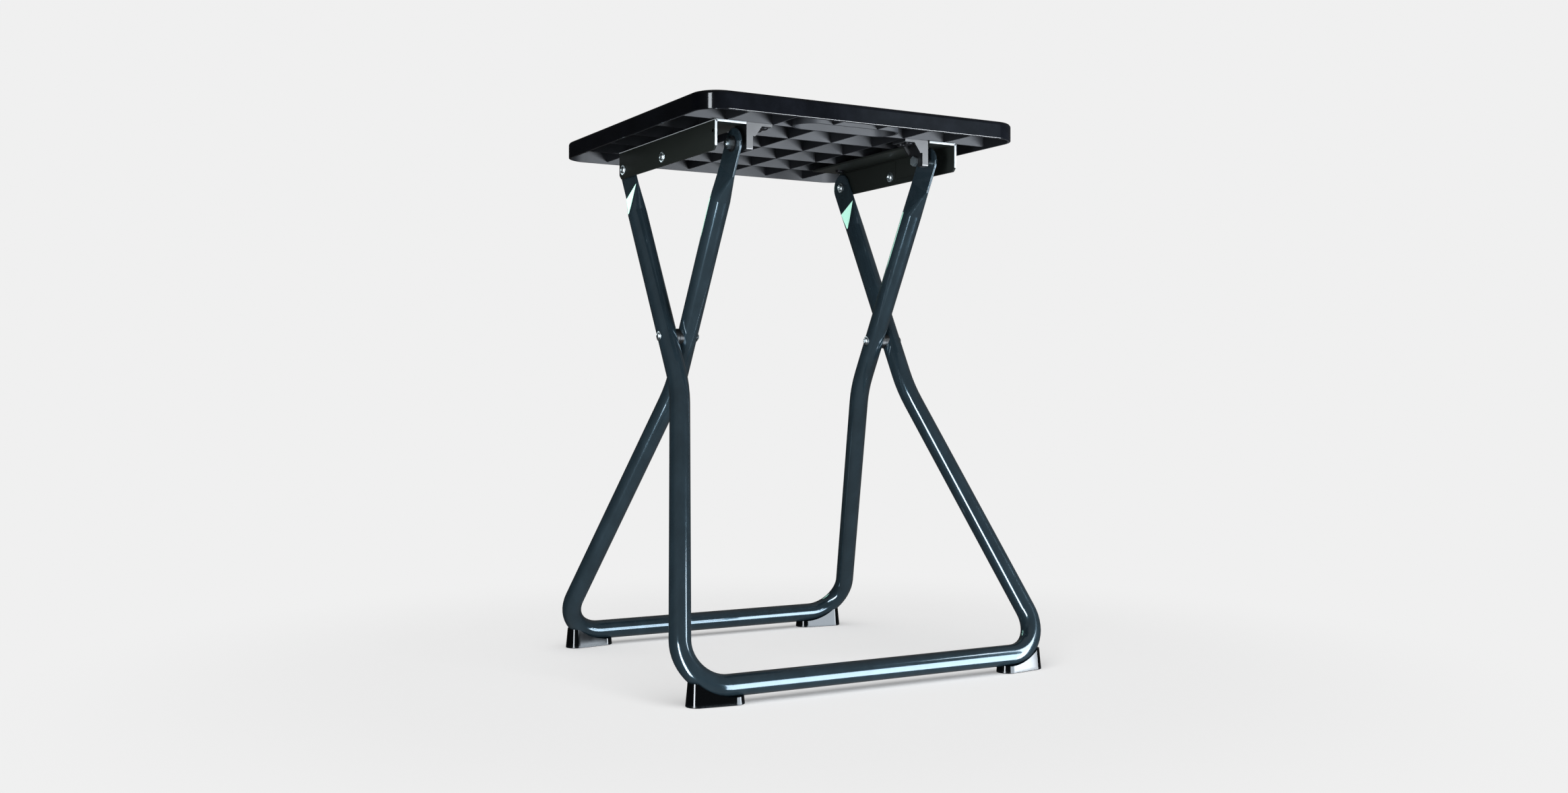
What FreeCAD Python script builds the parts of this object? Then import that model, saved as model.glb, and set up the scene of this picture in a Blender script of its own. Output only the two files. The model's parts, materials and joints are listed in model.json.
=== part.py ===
"""Folding side table: moulded tray top on two crossed U-shaped tube legs.

Millimetres, +Z up. The origin is on the floor, midway between the feet. +X runs along the
hand-hold edge of the top, to the right, and +Y runs away from that edge.
"""
import FreeCAD, Part
import math
import os

V = FreeCAD.Vector

# ---- driving dimensions ----------------------------------------------------------------
TABLE_HEIGHT = 600.0

# legs: two U frames that cross at the scissor rivets
TUBE_RADIUS = 11.1
TUBE_WALL = 1.5
LEG_ANGLE = math.radians(60.8)
UPPER_LEG = 225.0                # scissor axis to the rivet or bolt at the top
LOWER_LEG = 398.0                # scissor axis to the axis of the cross tube
CROSS_TUBE_HEIGHT = 18.0
OUTER_LEG_X = 147.0              # tube axis of the outer frame above the splay bend
INNER_LEG_X = 123.0
OUTER_CORNER_X = 225.2           # where the splayed leg's axis would meet the cross tube's
INNER_CORNER_X = 199.5
SPLAY_BEND_AT = 289.0            # along the leg, from its top end
SPLAY_BEND_RADIUS = 170.0
CORNER_RADIUS = 41.0

# flattened leg ends
FLAT_THICKNESS = 3.2
FLAT_WIDTH = 34.0
FLAT_LENGTH = 30.0               # from the rivet or bolt to the start of the ramp
ROUND_FROM = 62.0                # from the rivet or bolt to the full round tube
RAMP_TIP = math.radians(9.0)     # half the arc of round tube that a flat's side narrows to
FLAT_EDGE_ROUNDING = 1.55
OUTER_FLAT_X = 146.5             # middle of the flat, pressed slightly inwards of the axis
INNER_FLAT_X = 122.9

# top tray
TOP_WIDTH = 390.0
TOP_DEPTH = 380.0
TOP_SHIFT_Y = 4.0                # the tray's centre, away from the hand-hold edge
RIM_HEIGHT = 19.0
RIM_WALL = 3.0
TOP_CORNER_RADIUS = 29.0
TOP_EDGE_RADIUS = 4.0
RIM_FOOT_RADIUS = 0.8
FIELD_RECESS = 1.5               # sunk field inside the raised border
FIELD_BORDER = 11.0
SKIN = 2.5
RIB_THICKNESS = 1.6
RIB_FOOT_Z = 583.5               # lower edge of the ribs, where the rails bear
CELLS_X = 7
CELLS_Y = 6
HOLD_LENGTH = 126.0              # outside of the collar round the hand hold
HOLD_WIDTH = 40.0
HOLD_WALL = 2.5
HOLD_Y = -133.5
HOLD_EDGE_RADIUS = 1.0
BOSS_RADIUS = 4.5
PILOT_DEPTH = 9.0

# rails and doublers
RAIL_OUTER_X = 152.0
RAIL_STEEL = 2.5
RAIL_FLANGE_WIDTH = 41.5
RAIL_NEAR_Y = -124.5
RAIL_FAR_Y = 120.5
RAIL_FOOT_Z = 552.0
RAIL_CHAMFER = 4.5
RAIL_HEEL_RADIUS = 1.2
DOUBLER_STEEL = 1.2
DOUBLER_NEAR_Y = -7.5
DOUBLER_ARM_Y = -78.0
DOUBLER_ARM_HEIGHT = 5.0
DOUBLER_RIVET_Y = 3.4
DOUBLER_FROM_FLANGE = 1.5
DOUBLER_FROM_FOOT = 0.6
DOUBLER_FROM_END = 1.0
DOUBLER_NOTCH_DEPTH = 2.2
DOUBLER_NOTCH_BELOW = 2.0        # below and above the arm's upper edge
DOUBLER_NOTCH_ABOVE = 1.6

# rivets, bolts and screws
RIVET_RADIUS = 3.0
RUNNING_CLEARANCE = 0.05
HEAD_CLEARANCE = 0.3             # under a rivet head that a leg turns beneath
RIVET_HEAD_RADIUS = 5.5          # at the scissor joints
WEB_RIVET_HEAD_RADIUS = 6.4
RIVET_HEAD_HEIGHT = 2.8
SPOT_DEPTH = 0.8                 # flats pressed into the tubes under the scissor rivet heads
SPOT_RADIUS = 6.5
BOLT_ACROSS_FLATS = 10.0
BOLT_HEAD_HEIGHT = 4.0
BOLT_TIP = 2.0                   # how far the bolt stands out of its nut
NUT_HEIGHT = 5.0
HEX_EASING = 1.35                # radius of the ball that eases a hexagon, over its half diagonal
WASHER_RADIUS = 8.3
WASHER_THICKNESS = 1.6
SLEEVE_RADIUS = 4.6
SCREW_RADIUS = 1.9
SCREW_HEAD_RADIUS = 5.2
SCREW_HEAD_HEIGHT = 2.6
SCREW_HEAD_ROUNDING = 1.56
SLOT_DEPTH = 1.4
SLOT_REACH = 2.8
SLOT_HALF_WIDTH = 0.55
RAIL_SCREW_X = 134.0
RAIL_SCREW_YS = (-80.0, 95.0)
STUD_RADIUS = 3.6
STUD_HEIGHT = 2.6
STUD_FROM_END = 5.0
STUD_ABOVE_RIVETS = 10.0

# hook brackets that the bolts of the inner legs sit in
HOOK_INNER_X = 107.0
HOOK_OUTER_X = 114.5
HOOK_NEAR_Y = -122.7
HOOK_DEPTH = 25.2
HOOK_FOOT_Z = 555.0
HOOK_CLEARANCE = 0.3
HOOK_BASE_INNER_X = 84.0
HOOK_BASE_THICKNESS = 3.0
GUSSET_THICKNESS = 2.4
GUSSET_REACH = 11.0
GUSSET_FOOT_Z = 569.5
GUSSET_TOE = 3.0                 # the gusset's width at its lower edge
GUSSET_BITE = 0.5                # how far it runs into the plate and the base
HOOK_CORNER_RADIUS = 1.5
RAIL_NOTCH_GAP = 1.0             # between the rail's flange and the bracket's base
BRACKET_SCREW_X = 92.0
BRACKET_SCREW_INSET = 6.0

# saddle washers between the legs
SADDLE_RADIUS = 8.6
SADDLE_GAP = 0.3

# feet: each is turned about its screw, so that its outer end comes nearer to the middle
FOOT_LENGTH = 60.0
FOOT_WIDTH = 23.6
FOOT_DRAFT = 2.2                 # how far every side leans in over the outer height
FOOT_TURN = 7.9
FOOT_OUTER_HEIGHT = 23.0
FOOT_DIP_HEIGHT = 11.4
FOOT_INNER_HEIGHT = 8.6
FOOT_LAND = 9.5                  # length of the level top at the outer end
FOOT_EDGE_RADIUS = 0.7
FOOT_SCREW_FROM_MIDDLE = 14.5
FRONT_FOOT_SCREW_X = 172.0
REAR_FOOT_SCREW_X = 146.1
FOOT_RECESS_DEPTH = 2.4
FOOT_RECESS_CLEARANCE = 0.6
FOOT_SCREW_GRIP = 3.0            # how far the screw stands inside the tube

OVERRUN = 1.0                    # how far a cutting shape runs past the surface it cuts

# ---- sizes that follow ---------------------------------------------------------------------
SCISSOR_Z = CROSS_TUBE_HEIGHT + LOWER_LEG * math.sin(LEG_ANGLE)
HINGE_Y = UPPER_LEG * math.cos(LEG_ANGLE)
HINGE_Z = SCISSOR_Z + UPPER_LEG * math.sin(LEG_ANGLE)
FOOT_Y = LOWER_LEG * math.cos(LEG_ANGLE)
LEG_LENGTH = UPPER_LEG + LOWER_LEG
RIM_FOOT_Z = TABLE_HEIGHT - RIM_HEIGHT
CEILING_Z = TABLE_HEIGHT - FIELD_RECESS - SKIN
FLANGE_FOOT_Z = RIB_FOOT_Z - RAIL_STEEL
WEB_INNER_X = RAIL_OUTER_X - RAIL_STEEL
DOUBLER_INNER_X = WEB_INNER_X - DOUBLER_STEEL
HOOK_FAR_Y = HOOK_NEAR_Y + HOOK_DEPTH
BRACKET_SCREW_YS = (HOOK_NEAR_Y + BRACKET_SCREW_INSET, HOOK_FAR_Y - BRACKET_SCREW_INSET)
SIDES = (("left", -1), ("right", 1))


# ---- helpers ------------------------------------------------------------------------------
def save(name, shape):
    """Writes one node and prints its solids and volume."""
    if not shape.isValid():
        raise RuntimeError(name + " is not a valid solid")
    shape.exportStep("parts/" + name + ".step")
    print(f"{name:24s} solids {len(shape.Solids)}  volume {shape.Volume:10.1f}")


def cut(shape, *tools):
    """The shape less each tool, with leftover seams removed."""
    return shape.cut(list(tools)).removeSplitter()


def fuse(shape, *others):
    """One solid of touching shapes."""
    return shape.fuse(list(others)).removeSplitter()


def box(x0, x1, y0, y1, z0, z1):
    """A box from its lowest to its highest corner, given in any order along X."""
    corner = V(min(x0, x1), y0, z0)
    return Part.makeBox(abs(x1 - x0), y1 - y0, z1 - z0, corner)


def x_rod(radius, x0, x1, y, z):
    """A cylinder along X between two stations."""
    return Part.makeCylinder(radius, abs(x1 - x0), V(min(x0, x1), y, z), V(1, 0, 0))


def z_rod(radius, x, y, z0, z1):
    """A vertical cylinder."""
    return Part.makeCylinder(radius, z1 - z0, V(x, y, z0), V(0, 0, 1))


def prism(points, direction):
    """A solid from a closed outline pushed along a direction."""
    return Part.Face(Part.makePolygon(points + [points[0]])).extrude(direction)


def rounded_block(width, depth, radius, centre_y, z0, z1):
    """An upright block with rounded corners, centred on X = 0."""
    block = box(-width / 2, width / 2, centre_y - depth / 2, centre_y + depth / 2, z0, z1)
    upright = [e for e in block.Edges if e.BoundBox.ZLength > 0.5 * (z1 - z0)]
    return block.makeFillet(radius, upright)


def stadium_block(length, width, centre_y, z0, z1):
    """An upright block with half-round ends along X."""
    straight = (length - width) / 2
    middle = box(-straight, straight, centre_y - width / 2, centre_y + width / 2, z0, z1)
    ends = [z_rod(width / 2, sx * straight, centre_y, z0, z1) for sx in (-1, 1)]
    return fuse(middle, *ends)


def edges_at(shape, z):
    """The edges that lie in the plane at height z."""
    return [e for e in shape.Edges if all(abs(v.Z - z) < 1e-4 for v in e.Vertexes)
            and abs(e.BoundBox.ZLength) < 1e-4]


def edges_below(shape, z):
    """The edges whose middles are under the height z."""
    return [e for e in shape.Edges if e.CenterOfMass.z < z]


def dome(radius, height, x, y, z, outwards):
    """A low rivet dome that stands on the plane X = x and rises outwards (+1 or -1)."""
    sphere_radius = (radius ** 2 + height ** 2) / (2 * height)
    ball = Part.makeSphere(sphere_radius, V(x + outwards * (height - sphere_radius), y, z))
    keep = x_rod(radius, x, x + outwards * height, y, z)
    return ball.common(keep)


def hexagon(across_flats, x0, x1, y, z):
    """A hexagonal prism along X with its corners eased, as on a bolt head or nut."""
    corner = across_flats / math.sqrt(3.0)
    turns = [math.radians(60 * k + 30) for k in range(6)]
    points = [V(min(x0, x1), y + corner * math.cos(t), z + corner * math.sin(t)) for t in turns]
    body = prism(points, V(abs(x1 - x0), 0, 0))
    ball = Part.makeSphere(corner * HEX_EASING, V((x0 + x1) / 2, y, z))
    return body.common(ball)


# ---- legs ---------------------------------------------------------------------------------
def leg_point(frame, x, along):
    """A point of a leg frame: frame is -1 for the outer one (feet in front) or +1 for the
    inner one, and along is measured down the leg from its top rivet or bolt."""
    y = frame * (along - UPPER_LEG) * math.cos(LEG_ANGLE)
    return V(x, y, HINGE_Z - along * math.sin(LEG_ANGLE))


def rounded_path(points, radii):
    """A wire of straight runs joined by tangent arcs, one radius per inner point."""
    edges = []
    start = points[0]
    for before, corner, after, radius in zip(points, points[1:], points[2:], radii):
        back = (before - corner).normalize()
        on = (after - corner).normalize()
        half = back.getAngle(on) / 2
        reach = radius / math.tan(half)
        middle = (back + on).normalize() * (radius / math.sin(half) - radius)
        enter, leave = corner + back * reach, corner + on * reach
        edges.append(Part.LineSegment(start, enter).toShape())
        edges.append(Part.Arc(enter, corner + middle, leave).toShape())
        start = leave
    edges.append(Part.LineSegment(start, points[-1]).toShape())
    return Part.Wire(edges)


def leg_path(frame, leg_x, corner_x, start):
    """The axis of a U frame, from one end of its round tube to the other."""
    left = [leg_point(frame, -leg_x, start), leg_point(frame, -leg_x, SPLAY_BEND_AT),
            leg_point(frame, -corner_x, LEG_LENGTH)]
    right = [V(-p.x, p.y, p.z) for p in reversed(left)]
    radii = [SPLAY_BEND_RADIUS, CORNER_RADIUS, CORNER_RADIUS, SPLAY_BEND_RADIUS]
    return rounded_path(left + right, radii)


def pipe(path, radius):
    """A round bar along a path."""
    first = path.Edges[0]
    start = first.FirstParameter
    circle = Part.Circle(first.valueAt(start), first.tangentAt(start), radius)
    return path.makePipeShell([Part.Wire(circle.toShape())], True, False)


def four_corners(centre, half_x, across, half_across):
    """The corners of a section, from the near left one round by the far left one."""
    return [centre + V(sx * half_x, 0, 0) + across * (sa * half_across)
            for sx, sa in ((-1, -1), (-1, 1), (1, 1), (1, -1))]


def round_section(centre, across):
    """The full tube as two short arcs that face X and two long arcs between them."""
    corners = four_corners(centre, TUBE_RADIUS * math.cos(RAMP_TIP), across,
                           TUBE_RADIUS * math.sin(RAMP_TIP))
    middles = [centre - V(TUBE_RADIUS, 0, 0), centre + across * TUBE_RADIUS,
               centre + V(TUBE_RADIUS, 0, 0), centre - across * TUBE_RADIUS]
    arcs = [Part.Arc(corners[k], middles[k], corners[(k + 1) % 4]).toShape() for k in range(4)]
    return Part.Wire(arcs)


def flat_section(centre, across):
    """The flattened end as two straight sides and two half-round edges."""
    half = FLAT_THICKNESS / 2
    corners = four_corners(centre, half, across, FLAT_WIDTH / 2 - half)
    far = centre + across * (FLAT_WIDTH / 2)
    near = centre - across * (FLAT_WIDTH / 2)
    edges = [Part.LineSegment(corners[0], corners[1]).toShape(),
             Part.Arc(corners[1], far, corners[2]).toShape(),
             Part.LineSegment(corners[2], corners[3]).toShape(),
             Part.Arc(corners[3], near, corners[0]).toShape()]
    return Part.Wire(edges)


def flattened_end(frame, side, leg_x, flat_x):
    """A leg's top end: the round tube pressed down a ramp into a flat with a round tip. Each
    side of the flat runs down the ramp as a pointed facet."""
    along = (leg_point(frame, 0, 1) - leg_point(frame, 0, 0)).normalize()
    across = V(1, 0, 0).cross(along)
    flat_end = leg_point(frame, side * flat_x, FLAT_LENGTH)
    round_end = leg_point(frame, side * leg_x, ROUND_FROM)
    flat = flat_section(flat_end, across)
    ramp = Part.makeLoft([flat, round_section(round_end, across)], True, True)
    blade = Part.Face(flat).extrude(along * -FLAT_LENGTH)
    pin = leg_point(frame, side * flat_x, 0)
    half = FLAT_THICKNESS / 2
    tip = x_rod(FLAT_WIDTH / 2, pin.x - half, pin.x + half, pin.y, pin.z)
    rims = [e for e in tip.Edges if e.BoundBox.XLength < 1e-6]
    tip = tip.makeFillet(FLAT_EDGE_ROUNDING, rims)
    return fuse(ramp, blade, tip)


def foot_screw_x(frame):
    """How far out the screw of a foot stands."""
    return FRONT_FOOT_SCREW_X if frame < 0 else REAR_FOOT_SCREW_X


def leg_frame(frame, leg_x, corner_x, flat_x, pin_clearance, scissor_clearance):
    """A whole U frame: bent tube, flattened ends, rivet or bolt holes and rivet spots."""
    bar = pipe(leg_path(frame, leg_x, corner_x, ROUND_FROM), TUBE_RADIUS)
    bore_start = ROUND_FROM + 2 * TUBE_WALL
    hollow = pipe(leg_path(frame, leg_x, corner_x, bore_start), TUBE_RADIUS - TUBE_WALL)
    holes = [hollow]
    ends = []
    for _, side in SIDES:
        ends.append(flattened_end(frame, side, leg_x, flat_x))
        pin = leg_point(frame, side * flat_x, 0)
        reach = FLAT_THICKNESS / 2 + OVERRUN
        holes.append(x_rod(RIVET_RADIUS + pin_clearance, pin.x - reach, pin.x + reach, pin.y, pin.z))
        axis = side * leg_x
        reach = TUBE_RADIUS + OVERRUN
        holes.append(x_rod(RIVET_RADIUS + scissor_clearance, axis - reach, axis + reach, 0, SCISSOR_Z))
        # the outer frame's rivet head sits outside, the inner frame's inside
        way = -frame * side
        spot = axis + way * (TUBE_RADIUS - SPOT_DEPTH)
        holes.append(x_rod(SPOT_RADIUS, spot, axis + way * reach, 0, SCISSOR_Z))
        screw = V(side * foot_screw_x(frame), frame * FOOT_Y, CROSS_TUBE_HEIGHT)
        holes.append(z_rod(SCREW_RADIUS, screw.x, screw.y, screw.z - TUBE_RADIUS - OVERRUN, screw.z))
    return cut(fuse(bar, *ends), *holes)


# ---- pieces at the scissor joint --------------------------------------------------------------
def scissor_rivet(side):
    """The rivet through both legs, with a dome outside and a dome inside."""
    outer = OUTER_LEG_X + TUBE_RADIUS - SPOT_DEPTH
    inner = INNER_LEG_X - TUBE_RADIUS + SPOT_DEPTH - HEAD_CLEARANCE
    shank = x_rod(RIVET_RADIUS, side * inner, side * outer, 0, SCISSOR_Z)
    heads = [dome(RIVET_HEAD_RADIUS, RIVET_HEAD_HEIGHT, side * outer, 0, SCISSOR_Z, side),
             dome(RIVET_HEAD_RADIUS, RIVET_HEAD_HEIGHT, side * inner, 0, SCISSOR_Z, -side)]
    return fuse(shank, *heads)


def saddle(side, frame, leg_x):
    """Half of the spacer between the legs, hollowed to fit its own leg's tube."""
    middle = (OUTER_LEG_X + INNER_LEG_X) / 2
    outwards = -frame
    face = middle + outwards * SADDLE_GAP / 2
    disc = x_rod(SADDLE_RADIUS, side * face, side * leg_x, 0, SCISSOR_Z)
    above = leg_point(frame, side * leg_x, UPPER_LEG - 2 * SADDLE_RADIUS)
    below = leg_point(frame, side * leg_x, UPPER_LEG + 2 * SADDLE_RADIUS)
    tube = Part.makeCylinder(TUBE_RADIUS, 4 * SADDLE_RADIUS, above, below - above)
    clearance = 0.0 if frame < 0 else RUNNING_CLEARANCE
    bore_from = side * (face - outwards * OVERRUN)
    bore = x_rod(RIVET_RADIUS + clearance, bore_from, side * leg_x, 0, SCISSOR_Z)
    return cut(disc, tube, bore)


# ---- top tray -----------------------------------------------------------------------------------
def screw_places():
    """Where screws go up into the top, as (x, y) pairs."""
    places = []
    for _, side in SIDES:
        places += [(side * RAIL_SCREW_X, y) for y in RAIL_SCREW_YS]
        places += [(side * BRACKET_SCREW_X, y) for y in BRACKET_SCREW_YS]
    return places


def rib_grid():
    """The crossed ribs under the skin."""
    half_x = TOP_WIDTH / 2 - RIM_WALL
    half_y = TOP_DEPTH / 2 - RIM_WALL
    near_y = TOP_SHIFT_Y - half_y
    far_y = TOP_SHIFT_Y + half_y
    half_rib = RIB_THICKNESS / 2
    ribs = []
    for k in range(1, CELLS_X):
        x = half_x * (2.0 * k / CELLS_X - 1)
        ribs.append(box(x - half_rib, x + half_rib, near_y, far_y, RIB_FOOT_Z, CEILING_Z))
    for k in range(1, CELLS_Y):
        y = TOP_SHIFT_Y + half_y * (2.0 * k / CELLS_Y - 1)
        ribs.append(box(-half_x, half_x, y - half_rib, y + half_rib, RIB_FOOT_Z, CEILING_Z))
    return ribs[0].fuse(ribs[1:])


def table_top():
    """The moulded tray: rim, sunk field, rib grid, hand-hold collar and screw bosses."""
    tray = rounded_block(TOP_WIDTH, TOP_DEPTH, TOP_CORNER_RADIUS, TOP_SHIFT_Y, RIM_FOOT_Z,
                         TABLE_HEIGHT)
    tray = tray.makeFillet(TOP_EDGE_RADIUS, edges_at(tray, TABLE_HEIGHT))
    tray = tray.makeFillet(RIM_FOOT_RADIUS, edges_at(tray, RIM_FOOT_Z))
    cavity = rounded_block(TOP_WIDTH - 2 * RIM_WALL, TOP_DEPTH - 2 * RIM_WALL,
                           TOP_CORNER_RADIUS - RIM_WALL, TOP_SHIFT_Y, RIM_FOOT_Z - OVERRUN,
                           CEILING_Z)
    field_foot = TABLE_HEIGHT - FIELD_RECESS
    field = rounded_block(TOP_WIDTH - 2 * FIELD_BORDER, TOP_DEPTH - 2 * FIELD_BORDER,
                          TOP_CORNER_RADIUS - FIELD_BORDER / 2, TOP_SHIFT_Y, field_foot,
                          TABLE_HEIGHT + OVERRUN)
    tray = cut(tray, cavity, field)
    collar = stadium_block(HOLD_LENGTH, HOLD_WIDTH, HOLD_Y, RIB_FOOT_Z, CEILING_Z)
    bosses = [z_rod(BOSS_RADIUS, x, y, RIB_FOOT_Z, CEILING_Z) for x, y in screw_places()]
    tray = fuse(tray, rib_grid(), collar, *bosses)
    opening = stadium_block(HOLD_LENGTH - 2 * HOLD_WALL, HOLD_WIDTH - 2 * HOLD_WALL, HOLD_Y,
                            RIB_FOOT_Z - OVERRUN, TABLE_HEIGHT + OVERRUN)
    pilots = [z_rod(SCREW_RADIUS, x, y, RIB_FOOT_Z - OVERRUN, RIB_FOOT_Z + PILOT_DEPTH)
              for x, y in screw_places()]
    tray = cut(tray, opening, *pilots)
    lip = [e for e in edges_at(tray, field_foot)
           if abs(e.CenterOfMass.y - HOLD_Y) < HOLD_WIDTH / 2
           and abs(e.CenterOfMass.x) < HOLD_LENGTH / 2]
    return tray.makeFillet(HOLD_EDGE_RADIUS, lip)


# ---- rails ----------------------------------------------------------------------------------------
def chamfered_plate(side, x0, x1, y0, y1, z0, z1):
    """An upright plate whose two lower corners are cut off."""
    outline = [(y0 + RAIL_CHAMFER, z0), (y1 - RAIL_CHAMFER, z0), (y1, z0 + RAIL_CHAMFER),
               (y1, z1), (y0, z1), (y0, z0 + RAIL_CHAMFER)]
    return prism([V(side * x0, y, z) for y, z in outline], V(side * (x1 - x0), 0, 0))


def rivet_holes(side, inner_x, outer_x):
    """The holes of the two rivets through a web or a doubler."""
    return [x_rod(RIVET_RADIUS, side * (inner_x - OVERRUN), side * (outer_x + OVERRUN), y, HINGE_Z)
            for y in (HINGE_Y, DOUBLER_RIVET_Y)]


def stud_place():
    """Where the stud stands on the left rail's web, as (y, z)."""
    return RAIL_NEAR_Y + STUD_FROM_END, HINGE_Z + STUD_ABOVE_RIVETS


def rail(side):
    """An L-angle: web outside, flange on top, notched round the hook bracket."""
    web = chamfered_plate(side, WEB_INNER_X, RAIL_OUTER_X, RAIL_NEAR_Y, RAIL_FAR_Y, RAIL_FOOT_Z,
                          RIB_FOOT_Z)
    flange_inner = RAIL_OUTER_X - RAIL_FLANGE_WIDTH
    flange = box(side * flange_inner, side * RAIL_OUTER_X, RAIL_NEAR_Y, RAIL_FAR_Y,
                 FLANGE_FOOT_Z, RIB_FOOT_Z)
    angle = fuse(web, flange)
    heel = [e for e in edges_at(angle, RIB_FOOT_Z)
            if abs(abs(e.CenterOfMass.x) - RAIL_OUTER_X) < 1e-3
            and e.BoundBox.YLength > RAIL_FLANGE_WIDTH]
    angle = angle.makeFillet(RAIL_HEEL_RADIUS, heel)
    notch = box(side * (flange_inner - OVERRUN), side * (HOOK_OUTER_X + RAIL_NOTCH_GAP),
                RAIL_NEAR_Y - OVERRUN, HOOK_FAR_Y + RAIL_NOTCH_GAP, FLANGE_FOOT_Z - OVERRUN,
                RIB_FOOT_Z + OVERRUN)
    holes = [notch] + rivet_holes(side, WEB_INNER_X, RAIL_OUTER_X)
    holes += [z_rod(SCREW_RADIUS, side * RAIL_SCREW_X, y, FLANGE_FOOT_Z - OVERRUN, RIB_FOOT_Z + OVERRUN)
              for y in RAIL_SCREW_YS]
    if side < 0:
        holes.append(x_rod(STUD_RADIUS / 2, side * (WEB_INNER_X - OVERRUN),
                           side * (RAIL_OUTER_X + OVERRUN), *stud_place()))
    return cut(angle, *holes)


def rail_doubler(side):
    """The inner plate that stiffens the web at the leg rivet, with an arm along the foot."""
    top = FLANGE_FOOT_Z - DOUBLER_FROM_FLANGE
    foot_z = RAIL_FOOT_Z + DOUBLER_FROM_FOOT
    arm_top = foot_z + DOUBLER_ARM_HEIGHT
    plate = chamfered_plate(side, DOUBLER_INNER_X, WEB_INNER_X, DOUBLER_NEAR_Y,
                            RAIL_FAR_Y - DOUBLER_FROM_END, foot_z, top)
    arm = box(side * DOUBLER_INNER_X, side * WEB_INNER_X, DOUBLER_ARM_Y,
              DOUBLER_NEAR_Y + 2 * RAIL_CHAMFER, foot_z, arm_top)
    notch = box(side * (DOUBLER_INNER_X - OVERRUN), side * (WEB_INNER_X + OVERRUN),
                DOUBLER_NEAR_Y - OVERRUN, DOUBLER_NEAR_Y + DOUBLER_NOTCH_DEPTH,
                arm_top - DOUBLER_NOTCH_BELOW, arm_top + DOUBLER_NOTCH_ABOVE)
    return cut(fuse(plate, arm), notch, *rivet_holes(side, DOUBLER_INNER_X, WEB_INNER_X))


def web_rivet(side, y, inner_face):
    """A domed rivet through the rail's web, closed by a second dome on its inner face."""
    shank = x_rod(RIVET_RADIUS, side * inner_face, side * RAIL_OUTER_X, y, HINGE_Z)
    heads = [dome(WEB_RIVET_HEAD_RADIUS, RIVET_HEAD_HEIGHT, side * x, y, HINGE_Z, side * way)
             for x, way in ((RAIL_OUTER_X, 1), (inner_face, -1))]
    return fuse(shank, *heads)


def rail_stud():
    """The stud riveted into the near end of the left web, with its dome inside."""
    y, z = stud_place()
    shank = x_rod(STUD_RADIUS / 2, -WEB_INNER_X, -RAIL_OUTER_X, y, z)
    return fuse(shank, dome(STUD_RADIUS, STUD_HEIGHT, -WEB_INNER_X, y, z, 1))


def pan_screw(x, y, seat_z):
    """A pan-head screw that goes up from a seat, with a cross slot in its head."""
    foot_z = seat_z - SCREW_HEAD_HEIGHT
    head = z_rod(SCREW_HEAD_RADIUS, x, y, foot_z, seat_z)
    head = head.makeFillet(SCREW_HEAD_ROUNDING, edges_at(head, foot_z))
    shank = z_rod(SCREW_RADIUS, x, y, seat_z, RIB_FOOT_Z + PILOT_DEPTH)
    slots = [box(x - a, x + a, y - b, y + b, foot_z - OVERRUN, foot_z + SLOT_DEPTH)
             for a, b in ((SLOT_REACH, SLOT_HALF_WIDTH), (SLOT_HALF_WIDTH, SLOT_REACH))]
    return cut(fuse(head, shank), *slots)


def screw_pair(side, x, ys, seat_z):
    """The two screws of one rail or one bracket."""
    return Part.makeCompound([pan_screw(side * x, y, seat_z) for y in ys])


# ---- hook bracket and its bolt --------------------------------------------------------------------
def gusset(side, y, base_foot):
    """A small web between the bracket's plate and its base."""
    outline = [(HOOK_INNER_X + GUSSET_BITE, GUSSET_FOOT_Z),
               (HOOK_INNER_X + GUSSET_BITE, base_foot + GUSSET_BITE),
               (HOOK_INNER_X - GUSSET_REACH, base_foot + GUSSET_BITE),
               (HOOK_INNER_X - GUSSET_TOE, GUSSET_FOOT_Z)]
    return prism([V(side * x, y, z) for x, z in outline], V(0, GUSSET_THICKNESS, 0))


def hook_bracket(side):
    """The lug under the top: a plate with a mouth open below and behind, so that the bolt of
    the inner leg bears up and forwards in it, stiffened by two gussets under a base."""
    plate = box(side * HOOK_INNER_X, side * HOOK_OUTER_X, HOOK_NEAR_Y, HOOK_FAR_Y, HOOK_FOOT_Z,
                RIB_FOOT_Z)
    base_foot = RIB_FOOT_Z - HOOK_BASE_THICKNESS
    base = box(side * HOOK_BASE_INNER_X, side * HOOK_OUTER_X, HOOK_NEAR_Y, HOOK_FAR_Y, base_foot,
               RIB_FOOT_Z)
    gussets = [gusset(side, y, base_foot) for y in (HOOK_NEAR_Y, HOOK_FAR_Y - GUSSET_THICKNESS)]
    body = fuse(plate, base, *gussets)
    slot = RIVET_RADIUS + HOOK_CLEARANCE
    bolt_y = -HINGE_Y
    cut_from = side * (HOOK_INNER_X - GUSSET_REACH - OVERRUN)
    cut_to = side * (HOOK_OUTER_X + OVERRUN)
    below = HOOK_FOOT_Z - OVERRUN
    mouth = box(cut_from, cut_to, bolt_y, HOOK_FAR_Y + OVERRUN, below, HINGE_Z + slot)
    throat = box(cut_from, cut_to, bolt_y - slot, bolt_y + OVERRUN, below, HINGE_Z)
    seat = x_rod(slot, cut_from, cut_to, bolt_y, HINGE_Z)
    screws = [z_rod(SCREW_RADIUS, side * BRACKET_SCREW_X, y, base_foot - OVERRUN, RIB_FOOT_Z + OVERRUN)
              for y in BRACKET_SCREW_YS]
    body = cut(body, mouth, throat, seat, *screws)
    corners = [e for e in edges_below(body, HOOK_FOOT_Z + OVERRUN)
               if abs(e.BoundBox.XLength - (HOOK_OUTER_X - HOOK_INNER_X)) < 1e-3]
    return body.makeFillet(HOOK_CORNER_RADIUS, corners)


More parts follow.
